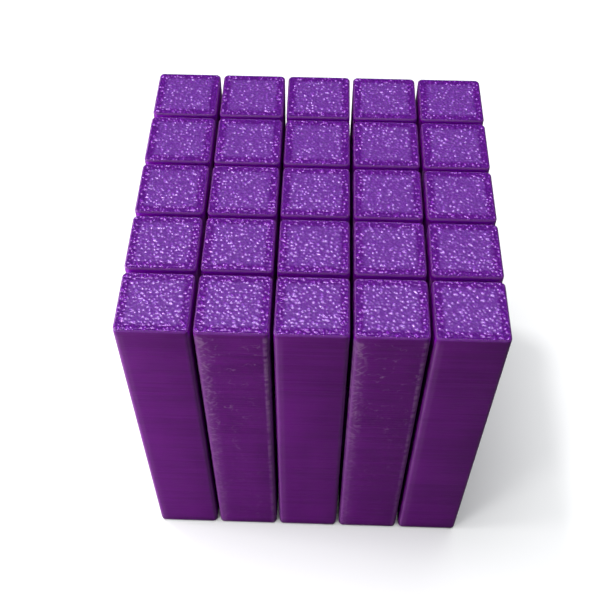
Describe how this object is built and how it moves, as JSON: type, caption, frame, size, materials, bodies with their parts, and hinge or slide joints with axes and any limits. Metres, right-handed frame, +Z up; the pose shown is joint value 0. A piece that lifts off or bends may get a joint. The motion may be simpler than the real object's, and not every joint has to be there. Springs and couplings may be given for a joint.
{
  "type": "sliding column puzzle cube",
  "caption": "Hand-held puzzle cube of square columns standing side by side, keyed to their neighbours with dovetails so that each one slides lengthways past the next.",
  "frame": {"origin": "centre of the base, on the floor under the middle column", "axes": "+Z up along the columns, +X along a row from column 1 to column 5, +Y from the front row a to the back row e"},
  "size_m": [0.0494, 0.0494, 0.055],
  "materials": {
    "printed_plastic": "purple 3-D printed plastic: satin sides with fine layer lines, pebbled and sparkling column tops from a textured print bed"
  },
  "bodies": {
    "column_a1": {"keyed_column_a1": "printed_plastic"},
    "column_a2": {"slotted_column_a2": "printed_plastic"},
    "column_a3": {"keyed_column_a3": "printed_plastic"},
    "column_a4": {"slotted_column_a4": "printed_plastic"},
    "column_a5": {"keyed_column_a5": "printed_plastic"},
    "column_b1": {"slotted_column_b1": "printed_plastic"},
    "column_b2": {"keyed_column_b2": "printed_plastic"},
    "column_b3": {"slotted_column_b3": "printed_plastic"},
    "column_b4": {"keyed_column_b4": "printed_plastic"},
    "column_b5": {"slotted_column_b5": "printed_plastic"},
    "column_c1": {"keyed_column_c1": "printed_plastic"},
    "column_c2": {"slotted_column_c2": "printed_plastic"},
    "column_c3": {"keyed_column_c3": "printed_plastic"},
    "column_c4": {"slotted_column_c4": "printed_plastic"},
    "column_c5": {"keyed_column_c5": "printed_plastic"},
    "column_d1": {"slotted_column_d1": "printed_plastic"},
    "column_d2": {"keyed_column_d2": "printed_plastic"},
    "column_d3": {"slotted_column_d3": "printed_plastic"},
    "column_d4": {"keyed_column_d4": "printed_plastic"},
    "column_d5": {"slotted_column_d5": "printed_plastic"},
    "column_e1": {"keyed_column_e1": "printed_plastic"},
    "column_e2": {"slotted_column_e2": "printed_plastic"},
    "column_e3": {"keyed_column_e3": "printed_plastic"},
    "column_e4": {"slotted_column_e4": "printed_plastic"},
    "column_e5": {"keyed_column_e5": "printed_plastic"}
  },
  "joints": [
    {"name": "slide_b3", "type": "slide", "parent": "column_c3", "child": "column_b3", "axis": [0, 0, 1], "range_m": [-0.008, 0.008]},
    {"name": "slide_c2", "type": "slide", "parent": "column_c3", "child": "column_c2", "axis": [0, 0, 1], "range_m": [-0.008, 0.008]},
    {"name": "slide_c4", "type": "slide", "parent": "column_c3", "child": "column_c4", "axis": [0, 0, 1], "range_m": [-0.008, 0.008]},
    {"name": "slide_d3", "type": "slide", "parent": "column_c3", "child": "column_d3", "axis": [0, 0, 1], "range_m": [-0.008, 0.008]},
    {"name": "slide_a3", "type": "slide", "parent": "column_b3", "child": "column_a3", "axis": [0, 0, 1], "range_m": [-0.008, 0.008]},
    {"name": "slide_b2", "type": "slide", "parent": "column_c2", "child": "column_b2", "axis": [0, 0, 1], "range_m": [-0.008, 0.008]},
    {"name": "slide_b4", "type": "slide", "parent": "column_c4", "child": "column_b4", "axis": [0, 0, 1], "range_m": [-0.008, 0.008]},
    {"name": "slide_c1", "type": "slide", "parent": "column_c2", "child": "column_c1", "axis": [0, 0, 1], "range_m": [-0.008, 0.008]},
    {"name": "slide_c5", "type": "slide", "parent": "column_c4", "child": "column_c5", "axis": [0, 0, 1], "range_m": [-0.008, 0.008]},
    {"name": "slide_d2", "type": "slide", "parent": "column_c2", "child": "column_d2", "axis": [0, 0, 1], "range_m": [-0.008, 0.008]},
    {"name": "slide_d4", "type": "slide", "parent": "column_c4", "child": "column_d4", "axis": [0, 0, 1], "range_m": [-0.008, 0.008]},
    {"name": "slide_e3", "type": "slide", "parent": "column_d3", "child": "column_e3", "axis": [0, 0, 1], "range_m": [-0.008, 0.008]},
    {"name": "slide_a2", "type": "slide", "parent": "column_b2", "child": "column_a2", "axis": [0, 0, 1], "range_m": [-0.008, 0.008]},
    {"name": "slide_a4", "type": "slide", "parent": "column_b4", "child": "column_a4", "axis": [0, 0, 1], "range_m": [-0.008, 0.008]},
    {"name": "slide_b1", "type": "slide", "parent": "column_c1", "child": "column_b1", "axis": [0, 0, 1], "range_m": [-0.008, 0.008]},
    {"name": "slide_b5", "type": "slide", "parent": "column_c5", "child": "column_b5", "axis": [0, 0, 1], "range_m": [-0.008, 0.008]},
    {"name": "slide_d1", "type": "slide", "parent": "column_c1", "child": "column_d1", "axis": [0, 0, 1], "range_m": [-0.008, 0.008]},
    {"name": "slide_d5", "type": "slide", "parent": "column_c5", "child": "column_d5", "axis": [0, 0, 1], "range_m": [-0.008, 0.008]},
    {"name": "slide_e2", "type": "slide", "parent": "column_d2", "child": "column_e2", "axis": [0, 0, 1], "range_m": [-0.008, 0.008]},
    {"name": "slide_e4", "type": "slide", "parent": "column_d4", "child": "column_e4", "axis": [0, 0, 1], "range_m": [-0.008, 0.008]},
    {"name": "slide_a1", "type": "slide", "parent": "column_b1", "child": "column_a1", "axis": [0, 0, 1], "range_m": [-0.008, 0.008]},
    {"name": "slide_a5", "type": "slide", "parent": "column_b5", "child": "column_a5", "axis": [0, 0, 1], "range_m": [-0.008, 0.008]},
    {"name": "slide_e1", "type": "slide", "parent": "column_d1", "child": "column_e1", "axis": [0, 0, 1], "range_m": [-0.008, 0.008]},
    {"name": "slide_e5", "type": "slide", "parent": "column_d5", "child": "column_e5", "axis": [0, 0, 1], "range_m": [-0.008, 0.008]}
  ]
}
